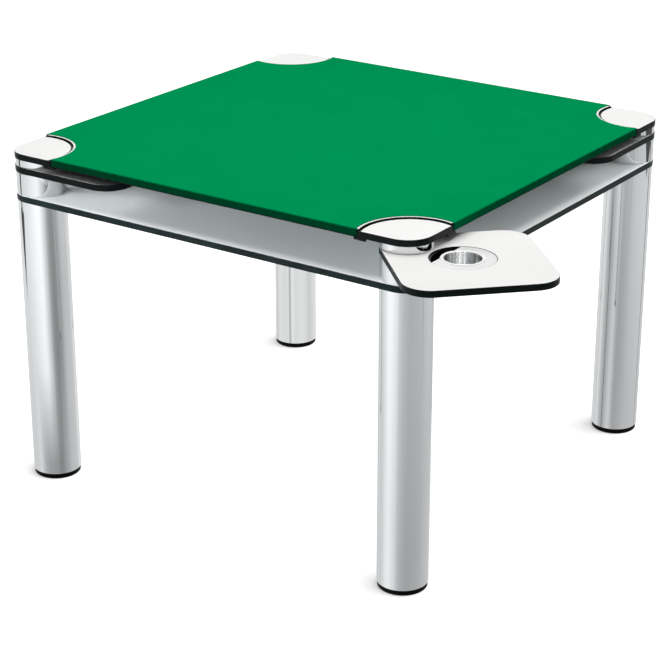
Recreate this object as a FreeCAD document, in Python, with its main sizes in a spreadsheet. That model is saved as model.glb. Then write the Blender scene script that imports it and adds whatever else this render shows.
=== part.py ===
import FreeCAD, Part
import math
import os
import re
import Sketcher

# Card table with four swivelling trays. Lengths are millimetres, +Z is up and
# the origin is on the floor under the middle of the table. The front is at -Y.

SIZES = {
    # whole table
    "table_side": 980,
    "table_height": 720,
    "overrun": 20,
    # steel legs and their black feet
    "leg_diameter": 100,
    "leg_wall": 2.5,
    "leg_margin": 1,
    "foot_height": 12,
    "foot_inset": 1.5,
    "foot_chamfer": 2,
    "foot_spigot_length": 22,
    "foot_spigot_wall": 4,
    "spigot_clearance": 0.15,
    "plug_thickness": 16,
    "plug_clearance": 0.1,
    # laminate boards
    "laminate_thickness": 13,
    "laminate_edge_round": 0.6,
    "lower_gap": 47,
    "upper_gap": 15,
    # polished collars above and below each tray
    "collar_wall": 2.5,
    "collar_disc": 5,
    "collar_chamfer": 0.6,
    "tray_clearance": 0.6,
    # rod, sleeve and bush that each tray turns on
    "rod_diameter": 16,
    "rod_end_chamfer": 1.5,
    "thread_clearance": 0.1,
    "rod_hole_clearance": 0.4,
    "sleeve_wall": 4,
    "bush_running_clearance": 0.05,
    "bush_end_clearance": 0.1,
    "bush_wall": 8,
    "bush_flange_width": 9,
    "bush_flange_height": 3,
    "bush_fit_clearance": 0.05,
    # nut let into the underside of each corner plate
    "nut_barrel_wall": 3.5,
    "nut_barrel_length": 9,
    "nut_flange_width": 14,
    "nut_flange_height": 2.5,
    "nut_hole_clearance": 0.1,
    "rod_end_gap": 1,
    # corner plates and the curved joint round them
    "plate_radius": 92,
    "joint_gap": 5.5,
    "plate_drop": 4,
    # black rail that carries plate and playing board along the joint
    "rail_height": 4.5,
    "rail_clearance": 2.3,
    "rail_plate_flange": 10,
    "rail_board_flange": 9.5,
    "rib_clearance": 0.6,
    "rib_drop": 1,
    "rail_edge_round": 1.2,
    # screws of the rails
    "screw_diameter": 3.5,
    "screw_head_diameter": 7,
    "screw_head_height": 2.2,
    "screw_length": 13,
    "screw_inset": 5,
    "screw_clearance": 0.15,
    # playing board
    "baize_thickness": 1.5,
    "baize_hem": 2.5,
    "baize_margin": 5.5,
    "board_edge_round": 3.5,
    # swivelling trays
    "tray_side": 280,
    "tray_open_angle": 135,
    # holder let into each tray: black pan, white lid, steel cup
    "holder_gap": 5,
    "pan_diameter": 117,
    "pan_wall": 1.5,
    "pan_depth": 38,
    "pan_round": 7,
    "pan_flange_width": 2.5,
    "pan_hole_clearance": 0.3,
    "lid_thickness": 2.5,
    "lid_clearance": 0.4,
    "lid_chord_inset": 1,
    "cup_diameter": 70,
    "cup_wall": 1,
    "cup_flange_width": 3,
    "cup_round": 4,
}

# Places and sizes that follow from the driving ones.
DERIVED = {
    "leg_radius": "leg_diameter / 2",
    "leg_bore": "leg_radius - leg_wall",
    "corner_radius": "leg_radius + leg_margin",
    "leg_offset": "table_side / 2 - corner_radius",
    "foot_radius": "leg_radius - foot_inset",
    "spigot_radius": "leg_bore - spigot_clearance",
    "plate_top": "table_height - plate_drop",
    "plate_bottom": "plate_top - laminate_thickness",
    "board_bottom": "plate_bottom",
    "tray_top": "plate_bottom - upper_gap",
    "tray_bottom": "tray_top - laminate_thickness",
    "panel_top": "tray_bottom - lower_gap",
    "panel_bottom": "panel_top - laminate_thickness",
    "plug_bottom": "panel_bottom - plug_thickness",
    "plug_radius": "leg_bore - plug_clearance",
    "collar_bore": "leg_radius - collar_wall",
    "collar_top": "tray_bottom - tray_clearance",
    "collar_foot": "tray_top + tray_clearance",
    "rod_radius": "rod_diameter / 2",
    "thread_radius": "rod_radius + thread_clearance",
    "rod_hole_radius": "rod_radius + rod_hole_clearance",
    "sleeve_radius": "rod_hole_radius + sleeve_wall",
    "bush_bore": "sleeve_radius + bush_running_clearance",
    "bush_radius": "bush_bore + bush_wall",
    "bush_flange_radius": "bush_radius + bush_flange_width",
    "bush_bottom": "collar_top + bush_end_clearance",
    "bush_top": "collar_foot - bush_end_clearance",
    "bush_flange_top": "tray_bottom + bush_flange_height",
    "nut_radius": "thread_radius + nut_barrel_wall",
    "nut_flange_radius": "nut_radius + nut_flange_width",
    "nut_top": "plate_bottom + nut_barrel_length",
    "rail_inner_radius": "plate_radius - rail_plate_flange",
    "joint_shift": "(rail_inner_radius - leg_radius - rail_clearance) / sqrt(2)",
    "joint_offset": "leg_offset + joint_shift",
    "joint_inset": "table_side / 2 - joint_offset",
    "board_arc_radius": "plate_radius + joint_gap",
    "baize_arc_radius": "board_arc_radius + baize_margin",
    "rib_inner_radius": "plate_radius + rib_clearance",
    "rib_outer_radius": "board_arc_radius - rib_clearance",
    "rail_outer_radius": "board_arc_radius + rail_board_flange",
    "rail_bottom": "plate_bottom - rail_height",
    "rail_top": "plate_top - rib_drop",
    "screw_circle_radius": "plate_radius - screw_inset",
    "core_top": "table_height - baize_thickness",
    "core_half": "table_side / 2 - baize_thickness",
    "baize_bottom": "board_bottom + baize_hem",
    "pan_radius": "pan_diameter / 2",
    "pan_bore": "pan_radius - pan_wall",
    "pan_flange_radius": "pan_radius + pan_flange_width",
    "holder_reach": "leg_radius + holder_gap + pan_flange_radius",
    "holder_offset": "holder_reach / sqrt(2)",
    "pan_seat": "tray_top - lid_thickness - pan_wall",
    "pan_floor": "pan_seat - pan_depth",
    "rebate_radius": "pan_flange_radius + lid_clearance",
    "lid_bottom": "tray_top - lid_thickness",
    "lid_chord": "cup_radius - lid_chord_inset",
    "cup_radius": "cup_diameter / 2",
    "cup_outer_radius": "cup_radius + cup_wall",
    "cup_flange_radius": "cup_radius + cup_flange_width",
    "cup_floor": "pan_floor + pan_wall",
}

QUARTER_TURN = 90
FULL_TURN = 360

# Each corner: its name, the side of the table that it is on along X and Y, and
# the turn that points its own +X and +Y into the table.
CORNERS = [
    ("front_left", -1, -1, 0),
    ("front_right", 1, -1, QUARTER_TURN),
    ("back_right", 1, 1, 2 * QUARTER_TURN),
    ("back_left", -1, 1, 3 * QUARTER_TURN),
]
# The tray of this corner is swung out, and the others are parked.
OPEN_CORNER = "front_right"
SCREWS_PER_RAIL = 3
# How near two places are the same, as a share of the table's side.
NEARNESS_SHARE = 1e-6

doc = FreeCAD.newDocument("card_table")
sheet = doc.addObject("Spreadsheet::Sheet", "Sizes")
for row, (name, size) in enumerate(SIZES.items(), start=1):
    sheet.set(f"A{row}", name)
    sheet.set(f"B{row}", str(size))
    sheet.setAlias(f"B{row}", name)
doc.recompute()


def formula(text):
    """Turn a sum of named sizes into an expression on the sheet's cells."""

    def cell(match):
        word = match.group(0)
        if word in DERIVED:
            return "(" + formula(DERIVED[word]) + ")"
        return f"{sheet.Name}.{word}" if word in SIZES else word

    return re.sub(r"[a-z_]+", cell, text)


def value(text):
    """The number that a sum of named sizes comes to."""
    return float(sheet.evalExpression(formula(text)))


def new_body(label, x="0", y="0", turn="0"):
    """A body at a place in plan, turned about the vertical by so many degrees."""
    body = doc.addObject("PartDesign::Body", label)
    body.Label = label
    body.AllowCompound = True
    upright = FreeCAD.Vector(0, 0, 1)
    place = FreeCAD.Vector(value(x), value(y), 0)
    body.Placement = FreeCAD.Placement(place, FreeCAD.Rotation(upright, value(turn)))
    body.setExpression("Placement.Base.x", formula(x))
    body.setExpression("Placement.Base.y", formula(y))
    body.setExpression("Placement.Rotation.Angle", formula(turn))
    return body


def corner_body(piece, corner, offset="leg_offset"):
    """A body whose own origin is on a corner's diagonal, +X and +Y into the table."""
    name, side_x, side_y, turn = corner
    return new_body(f"{piece}_{name}", f"{side_x} * {offset}", f"{side_y} * {offset}",
                    f"{turn}")


def tray_turn(corner):
    """The turn of a corner's tray, which is swung out at one corner."""
    name, _, _, turn = corner
    return f"{turn} - tray_open_angle" if name == OPEN_CORNER else f"{turn}"


def tray_body(piece, corner):
    """A body on the leg's axis that turns with a corner's tray."""
    name, side_x, side_y, _ = corner
    return new_body(f"{piece}_{name}", f"{side_x} * leg_offset", f"{side_y} * leg_offset",
                    tray_turn(corner))


def holder_body(piece, corner):
    """A tray's body whose own axis is the holder's, +X away from the leg."""
    name, side_x, side_y, _ = corner
    turn = f"{tray_turn(corner)} + {QUARTER_TURN / 2}"
    return new_body(f"{piece}_{name}",
                    f"{side_x} * leg_offset + holder_reach * cos({turn})",
                    f"{side_y} * leg_offset + holder_reach * sin({turn})", turn)


def new_sketch(body, level="0", plane="XY_Plane", x="0", y="0"):
    """An empty sketch on one of the body's own planes, lifted to a level."""
    sketch = body.newObject("Sketcher::SketchObject", f"{body.Name}_sketch")
    support = next(item for item in body.Origin.OriginFeatures if item.Role == plane)
    sketch.AttachmentSupport = [(support, "")]
    sketch.MapMode = "FlatFace"
    for axis, place in (("x", x), ("y", y), ("z", level)):
        sketch.setExpression(f"AttachmentOffset.Base.{axis}", formula(place))
    return sketch


# Numbers of the points of a line or arc, and of the two axes of a sketch.
START_INDEX = 1
END_INDEX = 2
CENTRE_INDEX = 3
LEVEL_AXIS_INDEX = -1
UPRIGHT_AXIS_INDEX = -2


def bind(sketch, constraint, size):
    """Add a dimension to a sketch and tie it to the sheet."""
    index = sketch.addConstraint(constraint)
    sketch.setExpression(f"Constraints[{index}]", formula(size))


def distance(direction, item, point, size):
    """A dimension from the sketch's origin to a point, along one direction."""
    return Sketcher.Constraint(direction, LEVEL_AXIS_INDEX, START_INDEX, item, point, value(size))


def join_ends(sketch, item, following):
    """Make one line or arc end where the next begins."""
    sketch.addConstraint(
        Sketcher.Constraint("Coincident", item, END_INDEX, following, START_INDEX))


def pin_point(sketch, item, point, x, y):
    """Hold a point of a sketch at a place given in named sizes."""
    if x == "0":
        sketch.addConstraint(Sketcher.Constraint("PointOnObject", item, point, UPRIGHT_AXIS_INDEX))
    else:
        bind(sketch, distance("DistanceX", item, point, x), x)
    if y == "0":
        sketch.addConstraint(Sketcher.Constraint("PointOnObject", item, point, LEVEL_AXIS_INDEX))
    else:
        bind(sketch, distance("DistanceY", item, point, y), y)


def draw_outline(sketch, corners):
    """A closed outline of straight sides through corners given in named sizes."""
    points = [FreeCAD.Vector(value(x), value(y), 0) for x, y in corners]
    first = sketch.GeometryCount
    count = len(points)
    for i in range(count):
        sketch.addGeometry(Part.LineSegment(points[i], points[(i + 1) % count]), False)
    for i in range(count):
        join_ends(sketch, first + i, first + (i + 1) % count)
    for i, (x, y) in enumerate(corners):
        pin_point(sketch, first + i, START_INDEX, x, y)


def draw_circle(sketch, radius, x="0", y="0"):
    """A circle with its radius and centre given in named sizes."""
    centre = FreeCAD.Vector(value(x), value(y), 0)
    upright = FreeCAD.Vector(0, 0, 1)
    item = sketch.addGeometry(Part.Circle(centre, upright, value(radius)), False)
    bind(sketch, Sketcher.Constraint("Radius", item, value(radius)), radius)
    pin_point(sketch, item, CENTRE_INDEX, x, y)


def draw_square(sketch, low, high):
    """A square between two coordinates along both axes."""
    draw_outline(sketch, [(low, low), (high, low), (high, high), (low, high)])


def pad(body, sketch, length):
    feature = body.newObject("PartDesign::Pad", f"{body.Name}_pad")
    feature.Profile = sketch
    feature.setExpression("Length", formula(length))
    doc.recompute()
    return feature


def pocket(body, sketch, length, upwards=True):
    """Cut a sketch's area out of the body and make sure that it did cut."""
    before = body.Shape.Volume
    feature = body.newObject("PartDesign::Pocket", f"{body.Name}_pocket")
    feature.Profile = sketch
    feature.Reversed = upwards
    feature.setExpression("Length", formula(length))
    doc.recompute()
    if body.Shape.Volume >= before:
        raise RuntimeError(f"{feature.Name} cuts nothing")
    return feature


def revolve(body, profile):
    """Turn an outline of radii and levels about the body's own vertical axis."""
    sketch = new_sketch(body, plane="XZ_Plane")
    draw_outline(sketch, profile)
    feature = body.newObject("PartDesign::Revolution", f"{body.Name}_turned")
    feature.Profile = sketch
    feature.ReferenceAxis = (sketch, ["V_Axis"])
    feature.Angle = FULL_TURN
    doc.recompute()
    return feature


def repeat_round(body, feature, sketch, count, angle=FULL_TURN):
    """Repeat a feature round the axis through its sketch's own origin."""
    pattern = body.newObject("PartDesign::PolarPattern", f"{body.Name}_pattern")
    pattern.Originals = [feature]
    pattern.Axis = (sketch, ["N_Axis"])
    pattern.Angle = angle
    pattern.Occurrences = count
    body.Tip = pattern
    doc.recompute()
    return pattern


def round_edges(body, base, radius, chosen):
    """Fillet the edges of a feature that a test picks out."""
    names = [f"Edge{i}" for i, edge in enumerate(base.Shape.Edges, start=1) if chosen(edge)]
    if not names:
        raise RuntimeError(f"{body.Name} has no such edge")
    feature = body.newObject("PartDesign::Fillet", f"{body.Name}_rounding")
    feature.Base = (base, names)
    feature.setExpression("Radius", formula(radius))
    doc.recompute()
    return feature


def is_near(place, size):
    """Whether a coordinate is the one that a sum of named sizes gives."""
    return abs(place - value(size)) < value("table_side") * NEARNESS_SHARE


def is_upright(edge):
    start, end = edge.firstVertex().Point, edge.lastVertex().Point
    near = value("table_side") * NEARNESS_SHARE
    return abs(start.x - end.x) < near and abs(start.y - end.y) < near


def is_level_at(edge, level):
    """Whether both ends of an edge are at a given height."""
    return is_near(edge.firstVertex().Point.z, level) and is_near(
        edge.lastVertex().Point.z, level)


def is_circle_at(edge, level, radius):
    """Whether an edge is a level circle of a given radius."""
    if not isinstance(edge.Curve, Part.Circle):
        return False
    return is_near(edge.Curve.Center.z, level) and is_near(edge.Curve.Radius, radius)


def break_edges(body, slab, bottom, top):
    """Take the sharpness off the top and bottom edges of a laminate board."""
    return round_edges(body, slab, "laminate_edge_round",
                       lambda edge: is_level_at(edge, bottom) or is_level_at(edge, top))


def make_leg(corner):
    """Leg: a straight steel tube between the foot and the lower panel."""
    body = corner_body("leg", corner)
    sketch = new_sketch(body, "foot_height")
    draw_circle(sketch, "leg_radius")
    draw_circle(sketch, "leg_bore")
    pad(body, sketch, "panel_bottom - foot_height")


def make_foot(corner):
    """Foot: a moulded cap, its rim under the tube's end and its spigot inside."""
    body = corner_body("foot", corner)
    revolve(body, [
        ("0", "0"),
        ("foot_radius - foot_chamfer", "0"),
        ("foot_radius", "foot_chamfer"),
        ("foot_radius", "foot_height"),
        ("spigot_radius", "foot_height"),
        ("spigot_radius", "foot_height + foot_spigot_length"),
        ("spigot_radius - foot_spigot_wall", "foot_height + foot_spigot_length"),
        ("spigot_radius - foot_spigot_wall", "foot_height"),
        ("0", "foot_height"),
    ])


def make_lower_collar(corner):
    """Lower collar: a polished tube with a disc at its top under the tray."""
    body = corner_body("lower_collar", corner)
    revolve(body, [
        ("collar_bore", "panel_top"),
        ("leg_radius - collar_chamfer", "panel_top"),
        ("leg_radius", "panel_top + collar_chamfer"),
        ("leg_radius", "collar_top - collar_chamfer"),
        ("leg_radius - collar_chamfer", "collar_top"),
        ("rod_hole_radius", "collar_top"),
        ("rod_hole_radius", "collar_top - collar_disc"),
        ("collar_bore", "collar_top - collar_disc"),
    ])


def make_upper_collar(corner):
    """Upper collar: the same tube, shorter, with its disc over the tray."""
    body = corner_body("upper_collar", corner)
    revolve(body, [
        ("rod_hole_radius", "collar_foot"),
        ("leg_radius - collar_chamfer", "collar_foot"),
        ("leg_radius", "collar_foot + collar_chamfer"),
        ("leg_radius", "plate_bottom - collar_chamfer"),
        ("leg_radius - collar_chamfer", "plate_bottom"),
        ("collar_bore", "plate_bottom"),
        ("collar_bore", "collar_foot + collar_disc"),
        ("rod_hole_radius", "collar_foot + collar_disc"),
    ])


def make_tie_rod(corner):
    """Tie rod: screwed into the leg's plug and into the nut in the plate."""
    body = corner_body("tie_rod", corner)
    revolve(body, [
        ("0", "plug_bottom"),
        ("rod_radius - rod_end_chamfer", "plug_bottom"),
        ("rod_radius", "plug_bottom + rod_end_chamfer"),
        ("rod_radius", "nut_top - rod_end_gap - rod_end_chamfer"),
        ("rod_radius - rod_end_chamfer", "nut_top - rod_end_gap"),
        ("0", "nut_top - rod_end_gap"),
    ])


def make_corner_plate(corner):
    """Corner plate: laminate with a round outer corner and a curved inner edge."""
    body = corner_body("corner_plate", corner)
    sketch = new_sketch(body, "plate_bottom")
    edge, middle, radius = "-corner_radius", "-joint_shift", "plate_radius"
    reach = "sqrt(plate_radius ^ 2 - joint_inset ^ 2) - joint_shift"
    outer = FreeCAD.Vector(value(edge), value(edge), 0)
    tips = [FreeCAD.Vector(value(reach), value(edge), 0),
            FreeCAD.Vector(value(edge), value(reach), 0)]
    centre = FreeCAD.Vector(value(middle), value(middle), 0)
    circle = Part.Circle(centre, FreeCAD.Vector(0, 0, 1), value(radius))
    start, end = (math.atan2(tip.y - centre.y, tip.x - centre.x) for tip in tips)
    front = sketch.addGeometry(Part.LineSegment(outer, tips[0]), False)
    arc = sketch.addGeometry(Part.ArcOfCircle(circle, start, end), False)
    side = sketch.addGeometry(Part.LineSegment(tips[1], outer), False)
    for one, following in ((front, arc), (arc, side), (side, front)):
        join_ends(sketch, one, following)
    pin_point(sketch, front, START_INDEX, edge, edge)
    pin_point(sketch, arc, CENTRE_INDEX, middle, middle)
    bind(sketch, Sketcher.Constraint("Radius", arc, value(radius)), radius)
    sketch.addConstraint(Sketcher.Constraint("Horizontal", front))
    sketch.addConstraint(Sketcher.Constraint("Vertical", side))
    slab = pad(body, sketch, "laminate_thickness")

    def outer_corner(line):
        foot = line.firstVertex().Point
        return is_upright(line) and is_near(foot.x, edge) and is_near(foot.y, edge)

    rounded = round_edges(body, slab, "corner_radius", outer_corner)

    def outline_edge(line):
        on_arc = is_circle_at(line, "plate_top", radius) or is_circle_at(
            line, "plate_bottom", radius)
        return not is_upright(line) and not on_arc

    round_edges(body, rounded, "laminate_edge_round", outline_edge)
    hole = new_sketch(body, "plate_bottom")
    draw_circle(hole, "nut_radius + nut_hole_clearance")
    pocket(body, hole, "nut_barrel_length")
    pilot = new_sketch(body, "plate_bottom", x=middle, y=middle)
    draw_circle(pilot, "screw_diameter / 2 + screw_clearance", "screw_circle_radius")
    bore = pocket(body, pilot, "screw_length - rail_height")
    repeat_round(body, bore, pilot, SCREWS_PER_RAIL, QUARTER_TURN)


def make_rail(corner):
    """Rail: a black strip of T section, curved along the joint. The plate is
    screwed to one flange, the playing board rests on the other, and the rib
    stands between their edges."""
    body = corner_body("rail", corner, "joint_offset")
    turned = revolve(body, [
        ("rail_inner_radius", "rail_bottom"),
        ("rail_outer_radius", "rail_bottom"),
        ("rail_outer_radius", "plate_bottom"),
        ("rib_outer_radius", "plate_bottom"),
        ("rib_outer_radius", "rail_top"),
        ("rib_inner_radius", "rail_top"),
        ("rib_inner_radius", "plate_bottom"),
        ("rail_inner_radius", "plate_bottom"),
    ])
    round_edges(body, turned, "rail_edge_round",
                lambda edge: is_circle_at(edge, "rail_bottom", "rail_inner_radius")
                or is_circle_at(edge, "rail_bottom", "rail_outer_radius"))
    waste = new_sketch(body, "rail_bottom - overrun")
    near, far = "-joint_inset", "rail_outer_radius + overrun"
    draw_outline(waste, [
        (near, near), (far, near), (far, f"-({far})"), (f"-({far})", f"-({far})"),
        (f"-({far})", far), (near, far),
    ])
    pocket(body, waste, "laminate_thickness + rail_height + 2 * overrun")
    hole = new_sketch(body, "rail_bottom")
    draw_circle(hole, "screw_diameter / 2 + screw_clearance", "screw_circle_radius")
    bore = pocket(body, hole, "rail_height")
    repeat_round(body, bore, hole, SCREWS_PER_RAIL, QUARTER_TURN)


def make_tray(corner):
    """Tray: a rounded square of laminate, bored for its bush and its holder."""
    body = tray_body("tray", corner)
    sketch = new_sketch(body, "tray_bottom")
    draw_square(sketch, "-corner_radius", "tray_side - corner_radius")
    slab = pad(body, sketch, "laminate_thickness")
    rounded = round_edges(body, slab, "corner_radius", is_upright)
    break_edges(body, rounded, "tray_bottom", "tray_top")
    cuts = [
        ("tray_bottom", "bush_radius + bush_fit_clearance", "0", "laminate_thickness"),
        ("tray_bottom", "bush_flange_radius + bush_fit_clearance", "0",
         "bush_flange_height"),
        ("tray_bottom", "pan_radius + pan_hole_clearance", "holder_offset",
         "laminate_thickness"),
        ("pan_seat", "rebate_radius", "holder_offset", "tray_top - pan_seat"),
    ]
    for level, radius, place, depth in cuts:
        hole = new_sketch(body, level)
        draw_circle(hole, radius, place, place)
        pocket(body, hole, depth)


def make_tray_bush(corner):
    """Bush: nylon, flanged, pressed into the tray and turning on the sleeve."""
    body = tray_body("tray_bush", corner)
    revolve(body, [
        ("bush_bore", "bush_bottom"),
        ("bush_flange_radius", "bush_bottom"),
        ("bush_flange_radius", "bush_flange_top"),
        ("bush_radius", "bush_flange_top"),
        ("bush_radius", "bush_top"),
        ("bush_bore", "bush_top"),
    ])


def make_pan(corner):
    """Pan: a black drawn dish, hung by its flange in the tray's rebate."""
    body = holder_body("holder_pan", corner)
    turned = revolve(body, [
        ("0", "pan_floor"),
        ("pan_radius", "pan_floor"),
        ("pan_radius", "pan_seat"),
        ("pan_flange_radius", "pan_seat"),
        ("pan_flange_radius", "lid_bottom"),
        ("pan_bore", "lid_bottom"),
        ("pan_bore", "cup_floor"),
        ("0", "cup_floor"),
    ])
    outside = round_edges(body, turned, "pan_round",
                          lambda edge: is_circle_at(edge, "pan_floor", "pan_radius"))
    round_edges(body, outside, "pan_round - pan_wall",
                lambda edge: is_circle_at(edge, "cup_floor", "pan_bore"))


def make_lid(corner):
    """Lid: a white disc, cut straight on the leg's side but for the ring of the cup."""
    body = holder_body("holder_lid", corner)
    sketch = new_sketch(body, "lid_bottom")
    draw_circle(sketch, "pan_flange_radius")
    draw_circle(sketch, "cup_radius")
    pad(body, sketch, "lid_thickness")
    bite = new_sketch(body, "lid_bottom")
    rim, chord, far = "cup_flange_radius", "-lid_chord", "pan_flange_radius + overrun"
    half = "sqrt(cup_flange_radius ^ 2 - lid_chord ^ 2)"
    corners = [(chord, half), (chord, far), (f"-({far})", far),
               (f"-({far})", f"-({far})"), (chord, f"-({far})"), (chord, f"-({half})")]
    points = [FreeCAD.Vector(value(x), value(y), 0) for x, y in corners]
    for start, end in zip(points, points[1:]):
        bite.addGeometry(Part.LineSegment(start, end), False)
    circle = Part.Circle(FreeCAD.Vector(0, 0, 0), FreeCAD.Vector(0, 0, 1), value(rim))
    lean = math.atan2(value(half), value("lid_chord"))
    arc = bite.addGeometry(Part.ArcOfCircle(circle, math.pi - lean, math.pi + lean), False)
    upper, back, outer, front, lower = range(arc)
    for one, following in ((upper, back), (back, outer), (outer, front), (front, lower)):
        join_ends(bite, one, following)
    bite.addConstraint(
        Sketcher.Constraint("Coincident", arc, START_INDEX, upper, START_INDEX))
    bite.addConstraint(Sketcher.Constraint("Coincident", arc, END_INDEX, lower, END_INDEX))
    for line in (upper, outer, lower):
        bite.addConstraint(Sketcher.Constraint("Vertical", line))
    for line in (back, front):
        bite.addConstraint(Sketcher.Constraint("Horizontal", line))
    bite.addConstraint(
        Sketcher.Constraint("Vertical", upper, START_INDEX, lower, END_INDEX))
    pin_point(bite, arc, CENTRE_INDEX, "0", "0")
    bind(bite, Sketcher.Constraint("Radius", arc, value(rim)), rim)
    bind(bite, distance("DistanceX", upper, START_INDEX, chord), chord)
    pin_point(bite, outer, START_INDEX, f"-({far})", far)
    bind(bite, distance("DistanceY", front, START_INDEX, f"-({far})"), f"-({far})")
    pocket(body, bite, "lid_thickness")


def make_cup(corner):
    """Cup: drawn steel, its thin flange under the lid and its floor on the pan."""
    body = holder_body("cup", corner)
    turned = revolve(body, [
        ("0", "cup_floor"),
        ("cup_outer_radius", "cup_floor"),
        ("cup_outer_radius", "lid_bottom - cup_wall"),
        ("cup_flange_radius", "lid_bottom - cup_wall"),
        ("cup_flange_radius", "lid_bottom"),
        ("cup_radius", "lid_bottom"),
        ("cup_radius", "cup_floor + cup_wall"),
        ("0", "cup_floor + cup_wall"),
    ])
    outside = round_edges(body, turned, "cup_round",
                          lambda edge: is_circle_at(edge, "cup_floor", "cup_outer_radius"))
    round_edges(body, outside, "cup_round - cup_wall",
                lambda edge: is_circle_at(edge, "cup_floor + cup_wall", "cup_radius"))


def make_lower_panel():
    """Lower panel: one square laminate sheet that ties the four legs together."""
    body = new_body("lower_panel")
    sketch = new_sketch(body, "panel_bottom")
    draw_square(sketch, "-table_side / 2", "table_side / 2")
    slab = pad(body, sketch, "laminate_thickness")
    rounded = round_edges(body, slab, "corner_radius", is_upright)
    break_edges(body, rounded, "panel_bottom", "panel_top")
    hole = new_sketch(body, "panel_bottom")
    draw_circle(hole, "rod_hole_radius", "leg_offset", "leg_offset")
    bore = pocket(body, hole, "laminate_thickness")
    repeat_round(body, bore, hole, len(CORNERS))


def cut_board_corners(body, radius):
    """Cut the four curved corners of the playing board at a given radius."""
    waste = new_sketch(body, "board_bottom - overrun")
    draw_circle(waste, radius, "joint_offset", "joint_offset")
    cut = pocket(body, waste, "table_height - board_bottom + 2 * overrun")
    repeat_round(body, cut, waste, len(CORNERS))


def make_board_core():
    """Playing board: laminate core with rounded long edges under the cloth."""
    body = new_body("board_core")
    sketch = new_sketch(body, "board_bottom")
    draw_square(sketch, "-core_half", "core_half")
    slab = pad(body, sketch, "core_top - board_bottom")
    round_edges(body, slab, "board_edge_round", lambda edge: is_level_at(edge, "core_top"))
    cut_board_corners(body, "board_arc_radius")


def make_baize():
    """Baize: green cloth over the core, turned down its straight sides and
    trimmed short of the curved corners, so that a white rim stays bare."""
    body = new_body("baize_cover")
    sketch = new_sketch(body, "baize_bottom")
    draw_square(sketch, "-table_side / 2", "table_side / 2")
    slab = pad(body, sketch, "table_height - baize_bottom")
    outside = round_edges(body, slab, "board_edge_round + baize_thickness",
                          lambda edge: is_level_at(edge, "table_height"))
    room = new_sketch(body, "baize_bottom")
    draw_square(room, "-core_half", "core_half")
    inside = pocket(body, room, "core_top - baize_bottom")

    def inner_shoulder(edge):
        ends = (edge.firstVertex().Point, edge.lastVertex().Point)
        inner = value("core_half") + value("baize_thickness") / 2
        return is_level_at(edge, "core_top") and all(
            abs(end.x) < inner and abs(end.y) < inner for end in ends)

    round_edges(body, inside, "board_edge_round", inner_shoulder)
    cut_board_corners(body, "baize_arc_radius")


def turned_solid(profile):
    """A solid turned about the vertical from an outline of radii and levels."""
    points = [FreeCAD.Vector(value(radius), 0, value(level)) for radius, level in profile]
    face = Part.Face(Part.makePolygon(points + points[:1]))
    return face.revolve(FreeCAD.Vector(0, 0, 0), FreeCAD.Vector(0, 0, 1), FULL_TURN)


def make_set(label, profile, places):
    """One node that holds several like fasteners, each a separate solid."""
    copies = []
    for x, y in places:
        solid = turned_solid(profile)
        solid.translate(FreeCAD.Vector(x, y, 0))
        copies.append(solid)
    feature = doc.addObject("Part::Feature", label)
    feature.Label = label
    feature.Shape = Part.makeCompound(copies)


def leg_places():
    offset = value("leg_offset")
    return [(x, y) for x in (-offset, offset) for y in (-offset, offset)]


def screw_places():
    """The screws of each rail, from one end of a quarter turn to the other."""
    offset, radius = value("joint_offset"), value("screw_circle_radius")
    places = []
    for _, side_x, side_y, turn in CORNERS:
        for step in range(SCREWS_PER_RAIL):
            angle = math.radians(turn + QUARTER_TURN * step / (SCREWS_PER_RAIL - 1))
            places.append((side_x * offset + radius * math.cos(angle),
                           side_y * offset + radius * math.sin(angle)))
    return places


def make_fasteners():
    """Leg plugs, pivot sleeves, plate nuts and rail screws."""
    make_set("leg_plugs", [
        ("thread_radius", "plug_bottom"),
        ("plug_radius", "plug_bottom"),
        ("plug_radius", "panel_bottom"),
        ("thread_radius", "panel_bottom"),
    ], leg_places())
    make_set("pivot_sleeves", [
        ("rod_hole_radius", "collar_top"),
        ("sleeve_radius", "collar_top"),
        ("sleeve_radius", "collar_foot"),
        ("rod_hole_radius", "collar_foot"),
    ], leg_places())
    make_set("plate_nuts", [
        ("thread_radius", "plate_bottom - nut_flange_height"),
        ("nut_flange_radius", "plate_bottom - nut_flange_height"),
        ("nut_flange_radius", "plate_bottom"),
        ("nut_radius", "plate_bottom"),
        ("nut_radius", "nut_top"),
        ("thread_radius", "nut_top"),
    ], leg_places())
    make_set("rail_screws", [
        ("0", "rail_bottom - screw_head_height"),
        ("screw_head_diameter / 2", "rail_bottom - screw_head_height"),
        ("screw_head_diameter / 2", "rail_bottom"),
        ("screw_diameter / 2", "rail_bottom"),
        ("screw_diameter / 2", "rail_bottom - screw_head_height + screw_length"),
        ("0", "rail_bottom - screw_head_height + screw_length"),
    ], screw_places())


for corner in CORNERS:
    make_leg(corner)
    make_foot(corner)
    make_lower_collar(corner)
    make_upper_collar(corner)
    make_tie_rod(corner)
    make_corner_plate(corner)
    make_rail(corner)
    make_tray(corner)
    make_tray_bush(corner)
    make_pan(corner)
    make_lid(corner)
    make_cup(corner)
make_lower_panel()
make_board_core()
make_baize()
make_fasteners()
doc.recompute()

for item in doc.Objects:
    if "Invalid" in item.State or "Error" in item.State:
        raise RuntimeError(f"{item.Name} failed: {item.State}")
os.makedirs("parts", exist_ok=True)
kinds = ("PartDesign::Body", "Part::Feature")
pieces = [item for item in doc.Objects if item.TypeId in kinds]
for piece in pieces:
    if piece.Shape.isNull() or not piece.Shape.isValid():
        raise RuntimeError(f"{piece.Label} has no sound shape")
for piece in pieces:
    piece.Shape.exportStep(f"parts/{piece.Label}.step")
    print(f"{piece.Label}: {len(piece.Shape.Solids)} solids, "
          f"{piece.Shape.Volume / 1000:.1f} cm3")
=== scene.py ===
import math

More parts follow.
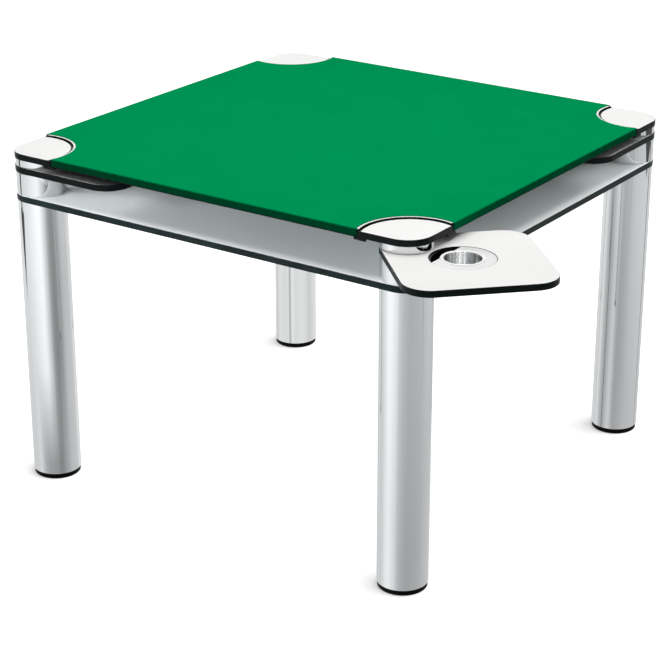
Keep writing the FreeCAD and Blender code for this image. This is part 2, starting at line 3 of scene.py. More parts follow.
import bpy
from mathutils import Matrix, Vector


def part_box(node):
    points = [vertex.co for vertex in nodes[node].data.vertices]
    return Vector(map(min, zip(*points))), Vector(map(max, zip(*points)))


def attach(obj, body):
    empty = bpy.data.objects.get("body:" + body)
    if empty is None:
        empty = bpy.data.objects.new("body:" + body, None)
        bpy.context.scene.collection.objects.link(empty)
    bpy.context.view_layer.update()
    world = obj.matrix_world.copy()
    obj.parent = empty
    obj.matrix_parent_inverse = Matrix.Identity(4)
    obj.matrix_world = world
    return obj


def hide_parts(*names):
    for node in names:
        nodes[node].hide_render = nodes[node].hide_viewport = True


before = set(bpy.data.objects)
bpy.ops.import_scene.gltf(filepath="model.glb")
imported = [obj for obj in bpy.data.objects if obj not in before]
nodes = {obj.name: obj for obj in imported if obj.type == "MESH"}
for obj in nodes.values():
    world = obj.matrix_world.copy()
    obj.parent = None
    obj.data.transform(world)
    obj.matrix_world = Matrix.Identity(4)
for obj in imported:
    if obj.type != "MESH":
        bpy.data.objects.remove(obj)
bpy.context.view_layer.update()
bpy.ops.object.select_all(action="DESELECT")

# Camera. A long lens looks down on the corner whose tray is swung out, from
# the front and a little to the right, with no shift of the lens.
lens_place = Vector((2.240, -3.2852, 1.8961))
lens_turn = math.radians(34.584)
lens_dip = math.radians(22.252)
bpy.ops.object.camera_add(location=lens_place,
                          rotation=(math.pi / 2 - lens_dip, 0, lens_turn))
camera = bpy.context.object
camera.data.lens = 108.08
camera.data.sensor_width = 36
bpy.context.scene.camera = camera

# Feet. Each leg stands on a black moulded cap, matt and finely grained, with
# a turned-in lower edge that is scuffed where it slides on the floor.


def new_finish(name, roughness, metal=0.0):
    """A finish whose colour and relief the piece's own section adds."""
    finish = bpy.data.materials.new(name)
    finish.use_nodes = True
    shader = finish.node_tree.nodes["Principled BSDF"]
    shader.inputs["Roughness"].default_value = roughness
    shader.inputs["Metallic"].default_value = metal
    return finish


def shader_of(finish):
    return finish.node_tree.nodes["Principled BSDF"]


def add_node(finish, kind, **inputs):
    """A node of a finish. Each input is a number, a place or another socket."""
    node = finish.node_tree.nodes.new("ShaderNode" + kind)
    for name, given in inputs.items():
        socket = node.inputs[int(name[1:])] if name[1:].isdigit() else node.inputs[
            name.replace("_", " ").title()]
        if isinstance(given, bpy.types.NodeSocket):
            finish.node_tree.links.new(given, socket)
        else:
            socket.default_value = given
    return node


def own_place(finish, stretch=(1, 1, 1)):
    """A place on the piece in its own metres, stretched along its axes."""
    place = add_node(finish, "TexCoord")
    laid = add_node(finish, "Mapping", scale=stretch, vector=place.outputs["Object"])
    return laid.outputs["Vector"]


def mottle(finish, size, detail=4.0, stretch=(1, 1, 1)):
    """Irregular patches about so many metres across, from 0 to 1."""
    patches = add_node(finish, "TexNoise", vector=own_place(finish, stretch),
                       scale=1 / size, detail=detail)
    return patches.outputs["Fac"]


def spread(finish, source, low, high, start=0.3, end=0.7):
    """Turn a pattern into numbers between two values."""
    spreading = add_node(finish, "MapRange", value=source, from_min=start,
                         from_max=end, to_min=low, to_max=high)
    return spreading.outputs["Result"]


def colours(finish, source, *steps):
    """Turn a pattern into colours, each given with its place from 0 to 1."""
    ramp = add_node(finish, "ValToRGB", fac=source)
    elements = ramp.color_ramp.elements
    for element, (place, colour) in zip(elements, (steps[0], steps[-1])):
        element.position = place
        element.color = (*colour, 1)
    for place, colour in steps[1:-1]:
        elements.new(place).color = (*colour, 1)
    return ramp.outputs["Color"]


def blend_colours(finish, share, first, second):
    """The second colour where the share is 1, the first where it is 0."""
    blending = finish.node_tree.nodes.new("ShaderNodeMix")
    blending.data_type = "RGBA"
    for place, given in ((0, share), (6, first), (7, second)):
        if isinstance(given, bpy.types.NodeSocket):
            finish.node_tree.links.new(given, blending.inputs[place])
        elif place:
            blending.inputs[place].default_value = (*given, 1)
        else:
            blending.inputs[place].default_value = given
    return blending.outputs[2]


def add_relief(finish, source, depth):
    """Raise the surface by a pattern, up to a depth in metres."""
    shader = shader_of(finish)
    relief = add_node(finish, "Bump", height=source, distance=depth)
    if shader.inputs["Normal"].is_linked:
        earlier = shader.inputs["Normal"].links[0].from_socket
        finish.node_tree.links.new(earlier, relief.inputs["Normal"])
    finish.node_tree.links.new(relief.outputs["Normal"], shader.inputs["Normal"])


def set_input(finish, name, source):
    """Join a pattern to an input of the finish's shader."""
    finish.node_tree.links.new(source, shader_of(finish).inputs[name])


def height_share(finish, low, high):
    """0 below a height on the piece, 1 above another, in metres."""
    place = add_node(finish, "SeparateXYZ", vector=own_place(finish))
    return spread(finish, place.outputs["Z"], 0, 1, low, high)


def multiply(finish, first, second):
    product = add_node(finish, "Math", _0=first, _1=second)
    product.operation = "MULTIPLY"
    return product.outputs["Value"]


def put_on(finish, *names):
    """Give a finish to CAD nodes, in place of the one that they came with."""
    for name in names:
        for slot in nodes[name].material_slots:
            slot.material = finish


corners = ["front_left", "front_right", "back_right", "back_left"]

clean_height, scuffed_height = 0.0045, 0.0005
foot_black = new_finish("foot_black", 0.5)
shader_of(foot_black).inputs["Specular IOR Level"].default_value = 0.06
foot_grain = mottle(foot_black, 0.0009, 2.0)
foot_wear = multiply(foot_black, mottle(foot_black, 0.012, 6.0),
                     height_share(foot_black, clean_height, scuffed_height))
set_input(foot_black, "Base Color", blend_colours(
    foot_black, spread(foot_black, foot_wear, 0, 0.7, start=0.4, end=0.8),
    (0.002, 0.002, 0.0025), (0.04, 0.039, 0.037)))
foot_gloss = spread(foot_black, mottle(foot_black, 0.02), 0.38, 0.6)
set_input(foot_black, "Roughness", foot_gloss)
add_relief(foot_black, foot_grain, 0.00006)
put_on(foot_black, *(f"foot_{corner}" for corner in corners))

# Legs and collars. Steel tube, ground along its length, then polished and
# chromium plated. The plating keeps a trace of the grinding as long, very
# faint lines, and it carries the odd smear from a hand.


def make_chrome(name, lines, clean=0.045, smeared=0.11, shine=1.0):
    """Plating with faint lines the way that their stretch gives, and smears."""
    line_depth, wave_depth = 0.0000035, 0.00004
    chrome = new_finish(name, clean, metal=1.0)
    tint = mottle(chrome, 0.16, 3.0, (1, 1, 0.35))
    dull, bright = ([share * shine for share in tone] for tone in
                    ((0.780, 0.788, 0.792), (0.815, 0.822, 0.825)))
    set_input(chrome, "Base Color", colours(chrome, tint, (0.3, dull), (0.7, bright)))
    smears = mottle(chrome, 0.045, 6.0, (1, 1, 0.6))
    set_input(chrome, "Roughness", spread(
        chrome, smears, clean, smeared, start=0.45, end=0.75))
    add_relief(chrome, mottle(chrome, 0.0011, 3.0, lines), line_depth)
    add_relief(chrome, mottle(chrome, 0.05, 1.0, (1, 1, 0.25)), wave_depth)
    return chrome


up_the_leg, round_the_collar = (1, 1, 0.006), (0.02, 0.02, 1)
leg_chrome = make_chrome("leg_chrome", up_the_leg)
put_on(leg_chrome, *(f"leg_{corner}" for corner in corners))
# The collars' plating is made 0.91 as bright as the legs': a painted shade.
collar_chrome = make_chrome("collar_chrome", round_the_collar, 0.035, 0.09, shine=0.91)
put_on(collar_chrome, *(f"lower_collar_{corner}" for corner in corners))
put_on(collar_chrome, *(f"upper_collar_{corner}" for corner in corners))

# Laminate boards: the lower panel, the trays and the corner plates. Each is a
# board with white laminate pressed on both faces and a black lacquered edge,
# whose arrises are worn a little where hands and chairs rub them.


def make_laminate(name, board, white_back=True):
    """White faces and black edges between the levels of one board."""
    rub_begins, rub_full = 0.0011, 0.0002
    low, high = (corner.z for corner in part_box(board))
    middle, half = (low + high) / 2, (high - low) / 2
    laminate = new_finish(name, 0.4)
    shader_of(laminate).inputs["Specular IOR Level"].default_value = 0.09
    normal = add_node(laminate, "NewGeometry").outputs["True Normal"]
    upright = add_node(laminate, "SeparateXYZ", vector=normal).outputs["Z"]
    facing = add_node(laminate, "Math", _0=upright)
    facing.operation = "ABSOLUTE"
    outward = facing.outputs["Value"] if white_back else upright
    face = spread(laminate, outward, 0, 1, start=0.93, end=0.97)
    white = colours(laminate, mottle(laminate, 0.22, 5.0),
                    (0.3, (0.865, 0.868, 0.862)), (0.7, (0.895, 0.896, 0.888)))
    black = colours(laminate, mottle(laminate, 0.03, 6.0),
                    (0.3, (0.003, 0.007, 0.007)), (0.7, (0.007, 0.013, 0.013)))
    place = add_node(laminate, "SeparateXYZ", vector=own_place(laminate))
    off = add_node(laminate, "Math", _0=place.outputs["Z"], _1=middle)
    off.operation = "SUBTRACT"
    away = add_node(laminate, "Math", _0=off.outputs["Value"])
    away.operation = "ABSOLUTE"
    near_face = spread(laminate, away.outputs["Value"], 0, 1,
                       start=half - rub_begins, end=half - rub_full)
    arris = multiply(laminate, near_face, spread(
        laminate, facing.outputs["Value"], 1, 0, start=0.5, end=0.9))
    rubbed = spread(laminate, mottle(laminate, 0.018, 8.0), 0, 0.5, start=0.52, end=0.75)
    worn = blend_colours(laminate, multiply(laminate, arris, rubbed), black,
                         (0.16, 0.165, 0.16))
    set_input(laminate, "Base Color", blend_colours(laminate, face, worn, white))
    sheen = spread(laminate, mottle(laminate, 0.06, 5.0), 0.30, 0.42)
    set_input(laminate, "Roughness", sheen)
    add_relief(laminate, mottle(laminate, 0.0016, 2.0), 0.000018)
    return laminate


panel_laminate = make_laminate("panel_laminate", "lower_panel")
put_on(panel_laminate, "lower_panel")
tray_laminate = make_laminate("tray_laminate", "tray_front_left")
put_on(tray_laminate, *(f"tray_{corner}" for corner in corners))
plate_laminate = make_laminate("plate_laminate", "corner_plate_front_left")
put_on(plate_laminate, *(f"corner_plate_{corner}" for corner in corners))

# Holders. A drawn steel dish, stove enamelled black, hangs in each tray. A
# white lid lies on it, all but level with the tray, and a drawn steel cup
# stands in the lid's raised ring.
pan_black = new_finish("pan_black", 0.12)
set_input(pan_black, "Base Color", colours(
    pan_black, mottle(pan_black, 0.02, 5.0),
    (0.3, (0.005, 0.005, 0.006)), (0.7, (0.011, 0.011, 0.012))))
pan_gloss = spread(pan_black, mottle(pan_black, 0.012, 6.0), 0.08, 0.2)
set_input(pan_black, "Roughness", pan_gloss)
add_relief(pan_black, mottle(pan_black, 0.0022, 2.0), 0.00004)
put_on(pan_black, *(f"holder_pan_{corner}" for corner in corners))

lid_sunk = 0.0004
lid_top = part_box("tray_front_right")[1].z - lid_sunk
lid_white = new_finish("lid_white", 0.35)
shader_of(lid_white).inputs["Specular IOR Level"].default_value = 0.2
flat_white = colours(lid_white, mottle(lid_white, 0.03, 5.0),
                     (0.3, (0.820, 0.826, 0.826)), (0.7, (0.845, 0.848, 0.846)))
ring_white = colours(lid_white, mottle(lid_white, 0.02, 5.0),
                     (0.3, (0.895, 0.898, 0.895)), (0.7, (0.92, 0.922, 0.918)))
ring_begins, ring_full = lid_top + 0.0002, lid_top + 0.0006
set_input(lid_white, "Base Color", blend_colours(
    lid_white, height_share(lid_white, ring_begins, ring_full), flat_white, ring_white))
lid_gloss = spread(lid_white, mottle(lid_white, 0.015, 5.0), 0.28, 0.42)
set_input(lid_white, "Roughness", lid_gloss)
add_relief(lid_white, mottle(lid_white, 0.0012, 2.0), 0.00002)

turned_sides = 144
down_the_cup = (1, 1, 0.01)
cup_steel = make_chrome("cup_steel", down_the_cup, 0.22, 0.32)
# The cup's colour runs in upright streaks from dark grey to near white: painted
# reflections, with faint draw marks.
draw_marks_and_painted_reflections = mottle(cup_steel, 0.020, 1.5, down_the_cup)
set_input(cup_steel, "Base Color", colours(
    cup_steel, draw_marks_and_painted_reflections, (0.38, (0.34, 0.35, 0.36)), (0.49, (0.54, 0.55, 0.56)),
    (0.54, (0.98, 0.98, 0.98))))
turned_way = add_node(cup_steel, "Tangent")
turned_way.direction_type = "RADIAL"
turned_way.axis = "Z"
set_input(cup_steel, "Tangent", turned_way.outputs["Tangent"])
shader_of(cup_steel).inputs["Anisotropic"].default_value = 1.0
shader_of(cup_steel).inputs["Anisotropic Rotation"].default_value = 0.25


def pick(piece, kind, fits):
    """Select the faces or the edges of a piece that fit a test, in edit mode."""
    bpy.ops.object.select_all(action="DESELECT")
    piece.select_set(True)
    bpy.context.view_layer.objects.active = piece
    bpy.ops.object.mode_set(mode="EDIT")
    bpy.ops.mesh.select_mode(type=kind)
    bpy.ops.mesh.select_all(action="DESELECT")
    bpy.ops.object.mode_set(mode="OBJECT")
    for part in piece.data.polygons if kind == "FACE" else piece.data.edges:
        part.select = fits(part)
    bpy.ops.object.mode_set(mode="EDIT")


def draw_rings(piece, first, rings):
    """Draw a turned shape out of an end of a tube, ring by ring, as on a lathe."""
    radius, height = first

    def at_end(edge):
        ends = [piece.data.vertices[end].co for end in edge.vertices]
        return all(abs(end.z - height) < 1e-6 and abs(end.xy.length - radius) < 1e-5
                   for end in ends)

    pick(piece, "EDGE", at_end)
    for next_radius, next_height in rings:
        rise = (0, 0, next_height - height)
        bpy.ops.mesh.extrude_region_move(TRANSFORM_OT_translate={"value": rise})
        share = next_radius / radius
        bpy.ops.transform.resize(value=(share, share, 1), center_override=(0, 0, 0))
        radius, height = next_radius, next_height
    bpy.ops.mesh.select_all(action="SELECT")
    bpy.ops.mesh.remove_doubles(threshold=1e-6)
    bpy.ops.mesh.normals_make_consistent(inside=False)
    bpy.ops.object.mode_set(mode="OBJECT")


def add_tube(name, radius, low, high):
    """An open tube round the upright axis, between two levels."""
    bpy.ops.object.select_all(action="DESELECT")
    bpy.ops.mesh.primitive_cylinder_add(
        vertices=turned_sides, radius=radius, depth=high - low, end_fill_type="NOTHING",
        location=(0, 0, (low + high) / 2))
    tube = bpy.context.object
    tube.name = name
    bpy.ops.object.transform_apply(location=True, rotation=True, scale=True)
    return tube


def cut_away(piece, cutter):
    """Take the cutter's shape out of a piece, and remove the cutter."""
    bpy.context.view_layer.objects.active = piece
    cut = piece.modifiers.new("cut", "BOOLEAN")
    cut.operation = "DIFFERENCE"
    cut.solver = "EXACT"
    cut.object = cutter
    bpy.ops.object.modifier_apply(modifier=cut.name)
    bpy.data.objects.remove(cutter)


lid_thickness, lid_radius, lid_edge = 0.002, 0.0603, 0.0003
lid_low = lid_top - lid_thickness
ring_outer, ring_inner, ring_rise = 0.0404, 0.0346, 0.0013
lid = add_tube("lid_pattern", lid_radius, lid_low, lid_top - lid_edge)
draw_rings(lid, (lid_radius, lid_top - lid_edge), [
    (lid_radius - 0.0001, lid_top - 0.0001), (lid_radius - lid_edge, lid_top),
    (ring_outer + 0.0003, lid_top), (ring_outer, lid_top + 0.0001),
    (ring_outer - 0.0002, lid_top + ring_rise * 0.6),
    (ring_outer - 0.0006, lid_top + ring_rise * 0.9),
    (ring_outer - 0.0012, lid_top + ring_rise),
    (ring_inner + 0.0012, lid_top + ring_rise),
    (ring_inner + 0.0005, lid_top + ring_rise * 0.85),
    (ring_inner + 0.0001, lid_top + ring_rise * 0.5), (ring_inner, lid_low),
    (lid_radius, lid_low)])
bite_chord, bite_ring, bite_size = 0.034, ring_outer + 0.0004, 0.2
bpy.ops.mesh.primitive_cube_add(size=bite_size,
                                location=(-bite_size / 2 - bite_chord, 0, lid_top))
bite = bpy.context.object
bpy.ops.mesh.primitive_cylinder_add(vertices=turned_sides, radius=bite_ring, depth=0.3,
                                    location=(0, 0, lid_top))
cut_away(bite, bpy.context.object)
cut_away(lid, bite)
arris = lid.modifiers.new("arris", "BEVEL")
arris.width = 0.00025
arris.segments = 2
arris.limit_method = "ANGLE"
arris.angle_limit = math.radians(60)
bpy.ops.object.modifier_apply(modifier=arris.name)

cup_bore, cup_wall, lip_top = 0.0335, 0.001, lid_top + 0.0009
cup_outer = cup_bore + cup_wall
cup_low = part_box("cup_front_right")[0].z
cup_floor = cup_low + cup_wall
outer_round, inner_round = 0.004, 0.003
lip_edge, wall_step = 0.0003, 0.0032
turns = [math.pi * step / 8 for step in range(5)]
cup = add_tube("cup_pattern", cup_outer, cup_low + outer_round, lip_top - lip_edge)
draw_rings(cup, (cup_outer, lip_top - lip_edge), [
    (cup_outer - 0.0002, lip_top - 0.0001), (cup_outer - 0.0004, lip_top),
    (cup_bore + 0.0004, lip_top), (cup_bore + 0.0001, lip_top - 0.0002)]
    + [(cup_bore, lip_top - wall_step * step) for step in range(1, 12)]
    + [(cup_bore - inner_round * (1 - math.cos(turn)),
        cup_low + outer_round - inner_round * math.sin(turn)) for turn in turns]
    + [(0.02, cup_floor), (0.006, cup_floor), (0, cup_floor)])
draw_rings(cup, (cup_outer, cup_low + outer_round), [
    (cup_outer - outer_round * (1 - math.cos(turn)),
     cup_low + outer_round * (1 - math.sin(turn))) for turn in turns[1:]]
    + [(0.02, cup_low), (0, cup_low)])

for corner in corners:
    leg_low, leg_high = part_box(f"leg_{corner}")
    cup_box_low, cup_box_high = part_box(f"cup_{corner}")
    middle = (cup_box_low + cup_box_high) / 2
    to_leg = (leg_low + leg_high) / 2 - middle
    for pattern, kind, finish, slot_name in ((lid, "holder_lid", lid_white, "white_lid"),
                                             (cup, "cup", cup_steel, "cup_steel")):
        piece = bpy.data.objects.new(f"{kind}_turned_{corner}", pattern.data.copy())
        bpy.context.collection.objects.link(piece)
        piece.rotation_euler.z = math.atan2(-to_leg.y, -to_leg.x)
        piece.location = (middle.x, middle.y, 0)
        bpy.ops.object.select_all(action="DESELECT")
        piece.select_set(True)
        bpy.context.view_layer.objects.active = piece
        bpy.ops.object.transform_apply(location=True, rotation=True, scale=True)
        bpy.ops.object.shade_smooth_by_angle(angle=math.radians(40))
        piece.data.materials.append(finish)
        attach(piece, f"{corner}_tray")
        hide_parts(f"{kind}_{corner}")
bpy.data.objects.remove(lid)
bpy.data.objects.remove(cup)

# Rails. Each black rail is a drawn aluminium section, bent to the joint's arc
# and anodised, so its surface is satin with faint lines from the die.
rail_black = new_finish("rail_black", 0.3)
set_input(rail_black, "Base Color", colours(
    rail_black, mottle(rail_black, 0.02, 5.0),
    (0.3, (0.004, 0.0045, 0.005)), (0.7, (0.009, 0.010, 0.011))))
shader_of(rail_black).inputs["Specular IOR Level"].default_value = 0.12
rail_gloss = spread(rail_black, mottle(rail_black, 0.01, 5.0), 0.2, 0.38)
set_input(rail_black, "Roughness", rail_gloss)
die_lines = mottle(rail_black, 0.0007, 2.0, (0.06, 0.06, 1))
add_relief(rail_black, die_lines, 0.00002)
put_on(rail_black, *(f"rail_{corner}" for corner in corners))

# Pieces inside the corners. Rods, plugs, nuts and screws are zinc plated
# steel, the sleeves are ground steel and the bushes are natural nylon.
zinc_steel = new_finish("zinc_steel", 0.3, metal=1.0)
set_input(zinc_steel, "Base Color", colours(
    zinc_steel, mottle(zinc_steel, 0.006, 5.0),
    (0.3, (0.50, 0.52, 0.55)), (0.7, (0.64, 0.65, 0.66))))
zinc_gloss = spread(zinc_steel, mottle(zinc_steel, 0.004, 5.0), 0.22, 0.4)
set_input(zinc_steel, "Roughness", zinc_gloss)
add_relief(zinc_steel, mottle(zinc_steel, 0.0012, 2.0), 0.00003)
put_on(zinc_steel, *(f"tie_rod_{corner}" for corner in corners),
       "leg_plugs", "pivot_sleeves", "plate_nuts", "rail_screws")

nylon = new_finish("nylon", 0.45)
set_input(nylon, "Base Color", colours(
    nylon, mottle(nylon, 0.01, 4.0),
    (0.3, (0.68, 0.66, 0.58)), (0.7, (0.76, 0.74, 0.67))))
add_relief(nylon, mottle(nylon, 0.0015, 2.0), 0.00004)
put_on(nylon, *(f"tray_bush_{corner}" for corner in corners))

# Board core. The playing board is a laminated panel with a white face. It
# shows as a fine white line round each cut corner, where the knife trimmed the
# cloth. Its edge is lacquered black there, and its underside is black too.
core_laminate = make_laminate("core_laminate", "board_core", white_back=False)
put_on(core_laminate, "board_core")

# Baize. Wool cloth with a raised nap, stretched over the core, glued, turned
# down its straight sides and trimmed with a knife short of the cut corners.
cloth_low, cloth_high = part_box("baize_cover")
cloth_drop = cloth_high.z - cloth_low.z
cloth_middle = (cloth_high.z + cloth_low.z) / 2
cloth_side = cloth_high.x - cloth_low.x
glue_gap = 0.0001
cloth_thickness = cloth_high.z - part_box("board_core")[1].z - glue_gap
shoulder_round = 0.0028
flat_margin = 0.004
trim_radius = 0.1018
trim_centre = 0.460


def is_top_edge(edge):
    ends = [baize.data.vertices[end].co for end in edge.vertices]
    return all(end.z > cloth_middle for end in ends)


def is_top(face):
    return face.normal.z > 0.9999


def is_under(face):
    """True for the underside and for the wall of a cut corner."""
    outer = max(abs(face.center.x), abs(face.center.y))
    inside = outer < cloth_side / 2 - 0.0001
    return face.normal.z < 0.01 and (inside or face.normal.z < -0.5)


bpy.ops.mesh.primitive_cube_add(size=1, location=(0, 0, cloth_middle))
baize = bpy.context.object
baize.name = "baize_cloth"
baize.dimensions = (cloth_side, cloth_side, cloth_drop)
bpy.ops.object.transform_apply(location=True, rotation=True, scale=True)
pick(baize, "EDGE", is_top_edge)
bpy.ops.mesh.bevel(offset=shoulder_round, segments=8, profile=0.5)
bpy.ops.object.mode_set(mode="OBJECT")
pick(baize, "FACE", is_top)
bpy.ops.mesh.inset(thickness=flat_margin)
bpy.ops.object.mode_set(mode="OBJECT")

for side_x in (-1, 1):
    for side_y in (-1, 1):
        bpy.ops.object.select_all(action="DESELECT")
        bpy.ops.mesh.primitive_cylinder_add(
            vertices=256, radius=trim_radius, depth=0.1,
            location=(side_x * trim_centre, side_y * trim_centre, cloth_middle))
        cut_away(baize, bpy.context.object)

pick(baize, "FACE", is_under)
bpy.ops.mesh.delete(type="FACE")
bpy.ops.object.mode_set(mode="OBJECT")
wall = baize.modifiers.new("thickness", "SOLIDIFY")
wall.thickness = cloth_thickness
wall.offset = -1
bpy.ops.object.modifier_apply(modifier=wall.name)
bpy.ops.object.shade_smooth_by_angle(angle=math.radians(35))

baize_green = new_finish("baize_green", 0.9)
nap = mottle(baize_green, 0.0014, 3.0)
fibres = mottle(baize_green, 0.0005, 3.0, (1, 0.5, 1))
patches = mottle(baize_green, 0.10, 6.0)
nap_colour = colours(baize_green, nap, (0.25, (0.0, 0.232, 0.073)),
                     (0.5, (0.0, 0.270, 0.086)), (0.75, (0.0, 0.310, 0.100)))
patch_colour = colours(baize_green, patches, (0.3, (0.0, 0.257, 0.082)),
                       (0.7, (0.0, 0.285, 0.091)))
face_colour = blend_colours(baize_green, 0.5, nap_colour, patch_colour)
# The turned-down sides are coloured a much darker green than the top: painted shade.
hem_shade_begins, hem_shade_full = cloth_high.z - 0.0008, cloth_high.z - 0.0026
hem_shade_share = height_share(baize_green, hem_shade_begins, hem_shade_full)
hem_painted_shade = colours(baize_green, nap, (0.25, (0.0, 0.100, 0.036)),
                     (0.75, (0.0, 0.145, 0.052)))
set_input(baize_green, "Base Color", blend_colours(
    baize_green, hem_shade_share, face_colour, hem_painted_shade))
shader_of(baize_green).inputs["Specular IOR Level"].default_value = 0.0
shader_of(baize_green).inputs["Sheen Weight"].default_value = 0.04
shader_of(baize_green).inputs["Sheen Roughness"].default_value = 0.5
shader_of(baize_green).inputs["Sheen Tint"].default_value = (0.0, 0.8, 0.3, 1)
add_relief(baize_green, fibres, 0.00025)
add_relief(baize_green, nap, 0.0003)
baize.data.materials.append(baize_green)
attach(baize, "board")
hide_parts("baize_cover")

# Floor. A white studio floor shows as plain white, with a painted shadow at the left of
# each foot, where an occlusion test that leans to the right dims its glow. Polished metal
# mirrors the screen round it instead.


def bare_finish(name):
    """A finish with no shader yet, for what belongs to the studio."""
    finish = bpy.data.materials.new(name)
    finish.use_nodes = True
    finish.node_tree.nodes.clear()
    return finish


bpy.ops.object.select_all(action="DESELECT")
bpy.ops.mesh.primitive_plane_add(size=60, location=(0, 0, -0.0005))
floor = bpy.context.object
floor.name = "studio_floor"
floor.visible_glossy = False
floor_white = bare_finish("floor_white")
shadow_reach, deepest_shade = 0.16, 0.42
# Painted shadow: the glow is dimmed where an occlusion test, tilted by this lean, finds a
# foot near.
painted_shadow_lean = add_node(floor_white, "CombineXYZ", x=0.80, y=0.55, z=0.25)
contact = add_node(floor_white, "AmbientOcclusion", distance=shadow_reach,
                   normal=painted_shadow_lean.outputs["Vector"])
contact.samples = 24
painted_shadow = spread(floor_white, contact.outputs["AO"], deepest_shade, 1.0,
               start=0.45, end=0.98)
light_path = add_node(floor_white, "LightPath")
paper = add_node(floor_white, "BsdfDiffuse", color=(0.72, 0.72, 0.72, 1))
lift = add_node(floor_white, "Emission", color=(1, 1, 1, 1), strength=painted_shadow)
shown = add_node(floor_white, "AddShader", _0=lift.outputs[0], _1=paper.outputs[0])
clear = add_node(floor_white, "BsdfTransparent")
sides = add_node(floor_white, "NewGeometry")
from_above = add_node(floor_white, "MixShader", _0=sides.outputs["Backfacing"],
                      _1=shown.outputs[0], _2=clear.outputs[0])
by_camera = add_node(floor_white, "MixShader", _0=light_path.outputs["Is Camera Ray"],
                     _1=paper.outputs[0], _2=from_above.outputs[0])
add_node(floor_white, "OutputMaterial", surface=by_camera.outputs[0])
floor.data.materials.append(floor_white)

# Screens. A tall paper screen stands in a ring round the table, white at the
# front and grey at the right, with dark lamp stands and bags before it. Dark flags
# and white cards stand by three of the legs. Only polished metal shows them.


def stand_screen(screen, name, finish):
    """Stage a screen that only mirrors show."""
    screen.name = name
    screen.visible_camera = False
    screen.visible_diffuse = False
    screen.visible_shadow = False
    screen.visible_transmission = False
    screen.data.materials.append(finish)


bpy.ops.mesh.primitive_cylinder_add(vertices=128, radius=1.25, depth=4.0,
                                    end_fill_type="NOTHING", location=(0, 0, 0.2))
ring_screen = bpy.context.object
ring_paper = bare_finish("ring_paper")
ring_greys = [(-180, 0.84), (-160, 0.78), (-145, 0.79), (-128, 0.88), (-112, 1.03),
              (-98, 1.12), (-88, 1.06), (-82, 0.99), (-76, 0.91), (-71, 0.86),
              (-67, 0.69), (-56, 0.54), (-44, 0.47), (-25, 0.50), (-8, 0.55),
              (8, 0.62), (30, 0.66), (55, 0.69), (80, 0.72), (105, 0.78), (130, 0.85),
              (156, 0.84), (160, 0.55), (165, 0.45), (170, 0.80), (180, 0.84)]
around = add_node(ring_paper, "TexGradient", vector=own_place(ring_paper))
around.gradient_type = "RADIAL"
tones = colours(ring_paper, around.outputs["Fac"], *(
    (degrees / 360 + 0.5, (grey * 0.985, grey, grey * 1.01))
    for degrees, grey in ring_greys))
level = add_node(ring_paper, "SeparateXYZ", vector=own_place(ring_paper))
lit = spread(ring_paper, level.outputs["Z"], 0.93, 1.12, start=-0.45, end=0.10)
glow = add_node(ring_paper, "Emission", color=tones, strength=lit)
add_node(ring_paper, "OutputMaterial", surface=glow.outputs[0])
stand_screen(ring_screen, "ring_screen", ring_paper)

flag_height, flag_middle = 2.0, -0.40
foot_part_ends, leg_part_begins = 0.20, 0.31
for name, leg, facing, distance, half_width, cover, foot_cover, grey in (
        ("left_flag", "leg_front_left", -21, 0.22, 0.25, 0.40, 0.15, 0.06),
        ("left_low_flag", "leg_front_left", -65, 0.12, 0.19, 0.0, 0.65, 0.06),
        ("right_flag", "leg_back_right", -117, 0.22, 0.17, 0.50, 0.50, 0.06),
        ("back_card", "leg_back_left", -30, 0.20, 0.36, 0.85, 0.85, 0.98),
        ("back_left_card", "leg_back_left", -135, 0.20, 0.33, 0.62, 0.62, 0.98),
        ("back_right_card", "leg_back_left", 62, 0.20, 0.30, 0.62, 0.62, 0.98)):
    facing = math.radians(facing)
    leg_low, leg_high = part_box(leg)
    leg_middle = (leg_low + leg_high) / 2
    bpy.ops.object.select_all(action="DESELECT")
    bpy.ops.mesh.primitive_plane_add(size=1)
    flag = bpy.context.object
    flag.scale = (2 * half_width, flag_height, 1)
    flag.rotation_euler = (math.pi / 2, 0, facing - math.pi / 2)
    flag.location = (leg_middle.x + distance * math.cos(facing),
                     leg_middle.y + distance * math.sin(facing), flag_middle)
    flag_paper = bare_finish(name + "_paper")
    across = add_node(flag_paper, "SeparateXYZ", vector=own_place(flag_paper))
    off = add_node(flag_paper, "Math", _0=across.outputs["X"])
    off.operation = "ABSOLUTE"
    cover_here = spread(flag_paper, across.outputs["Y"], foot_cover, cover,
                        start=foot_part_ends, end=leg_part_begins)
    fade = add_node(flag_paper, "MapRange", value=off.outputs["Value"], from_min=0.5,
                    from_max=0.0, to_min=0, to_max=cover_here)
    fade.interpolation_type = "SMOOTHSTEP"
    flag_sides = add_node(flag_paper, "NewGeometry")
    clear = add_node(flag_paper, "BsdfTransparent")
    plain = add_node(flag_paper, "Emission", color=(grey, grey, grey, 1), strength=1.0)
    veil = add_node(flag_paper, "MixShader", _0=fade.outputs["Result"],
                    _1=clear.outputs[0], _2=plain.outputs[0])
    one_side = add_node(flag_paper, "MixShader", _0=flag_sides.outputs["Backfacing"],
                        _1=veil.outputs[0], _2=clear.outputs[0])
    add_node(flag_paper, "OutputMaterial", surface=one_side.outputs[0])
    stand_screen(flag, name, flag_paper)

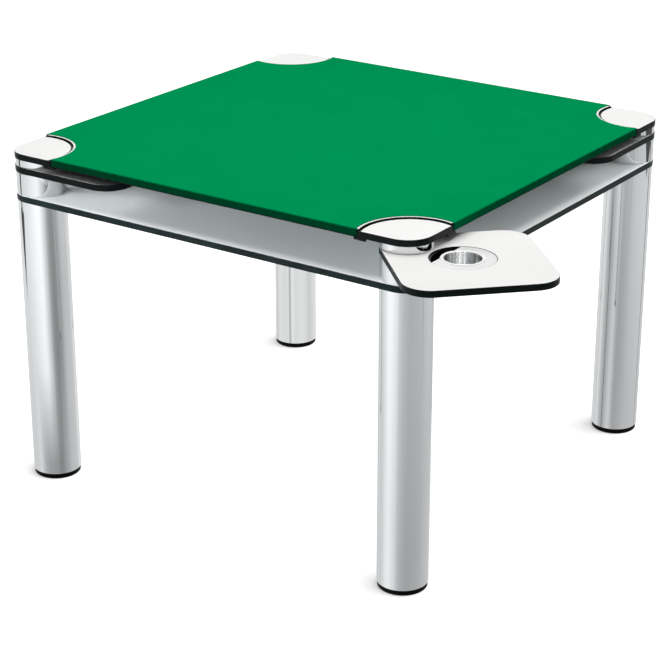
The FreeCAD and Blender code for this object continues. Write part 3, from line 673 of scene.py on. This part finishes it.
stand_dark = bare_finish("stand_dark")
stand_tone = add_node(stand_dark, "Emission", color=(0.09, 0.093, 0.096, 1), strength=1.0)
add_node(stand_dark, "OutputMaterial", surface=stand_tone.outputs[0])
stands_out = 1.2
for name, direction, foot_level, height, width in (
        ("left_stand", -146, 0.20, 1.2, 0.42), ("left_bag", -146, 0.18, 0.21, 0.23),
        ("far_stand", 50, -0.55, 1.2, 0.07), ("far_stand_2", 66, -0.30, 1.2, 0.06),
        ("right_stand", -12, 0.05, 1.2, 0.07), ("right_bag", 40, 0.415, 0.16, 0.50)):
    direction = math.radians(direction)
    bpy.ops.object.select_all(action="DESELECT")
    bpy.ops.mesh.primitive_cone_add(
        vertices=16, radius1=0, radius2=width / 2, depth=height,
        location=(stands_out * math.cos(direction), stands_out * math.sin(direction),
                  foot_level + height / 2))
    stand_screen(bpy.context.object, name, stand_dark)

# Light. One large soft box hangs overhead, and the pale walls of the room give
# a light from all round above table height. Four low lamps reach in under the
# board, one from each side, and light only the lower panel.
bpy.ops.object.light_add(type="AREA", location=(0.1, -0.08, 3.2))
soft_box = bpy.context.object
soft_box.data.shape = "RECTANGLE"
soft_box.data.size = 2.6
soft_box.data.size_y = 2.6
soft_box.data.energy = 75
soft_box.data.color = (1.0, 0.995, 0.985)

panel_only = bpy.data.collections.new("panel_only")
panel_only.objects.link(nodes["lower_panel"])
panel_middle = Vector((0, 0, 0.62))
for place, power in (((-1.3, -3.2, 1.38), 166), ((1.9, 1.55, 1.35), 36),
                     ((0.6, 4.0, 2.2), 90), ((-4.0, 0.6, 2.2), 90)):
    bpy.ops.object.light_add(type="AREA", location=place)
    panel_lamp = bpy.context.object
    panel_lamp.data.shape = "RECTANGLE"
    panel_lamp.data.size = 2.2
    panel_lamp.data.size_y = 0.8
    panel_lamp.data.energy = power
    panel_lamp.data.color = (0.88, 0.97, 1.0)
    to_panel = panel_middle - panel_lamp.location
    panel_lamp.rotation_euler = to_panel.to_track_quat("-Z", "Y").to_euler()
    panel_lamp.light_linking.receiver_collection = panel_only
    panel_lamp.visible_camera = False

world = bpy.data.worlds.new("studio")
bpy.context.scene.world = world
world.use_nodes = True
world.node_tree.nodes.clear()
way = add_node(world, "TexCoord")
rise = add_node(world, "SeparateXYZ", vector=way.outputs["Generated"])
wall_tones = ((0.0, 0.12), (0.34, 0.12), (0.44, 0.40), (0.55, 0.40), (0.75, 0.12))
walls = colours(world, rise.outputs["Z"], *(
    (place, (tone, tone, tone)) for place, tone in wall_tones))
rays = add_node(world, "LightPath")
seen_rays = add_node(world, "Math", _0=rays.outputs["Is Camera Ray"],
                     _1=rays.outputs["Is Glossy Ray"])
seen_rays.operation = "MAXIMUM"
white_rays = add_node(world, "Math", _0=seen_rays.outputs[0],
                      _1=rays.outputs["Is Transmission Ray"])
white_rays.operation = "MAXIMUM"
room = add_node(world, "MapRange", value=white_rays.outputs[0], from_min=0, from_max=1,
                to_min=walls, to_max=1.0)
sky = add_node(world, "Background", color=(1, 1, 1, 1), strength=room.outputs[0])
add_node(world, "OutputWorld", surface=sky.outputs[0])

bpy.context.scene.view_settings.view_transform = "Standard"
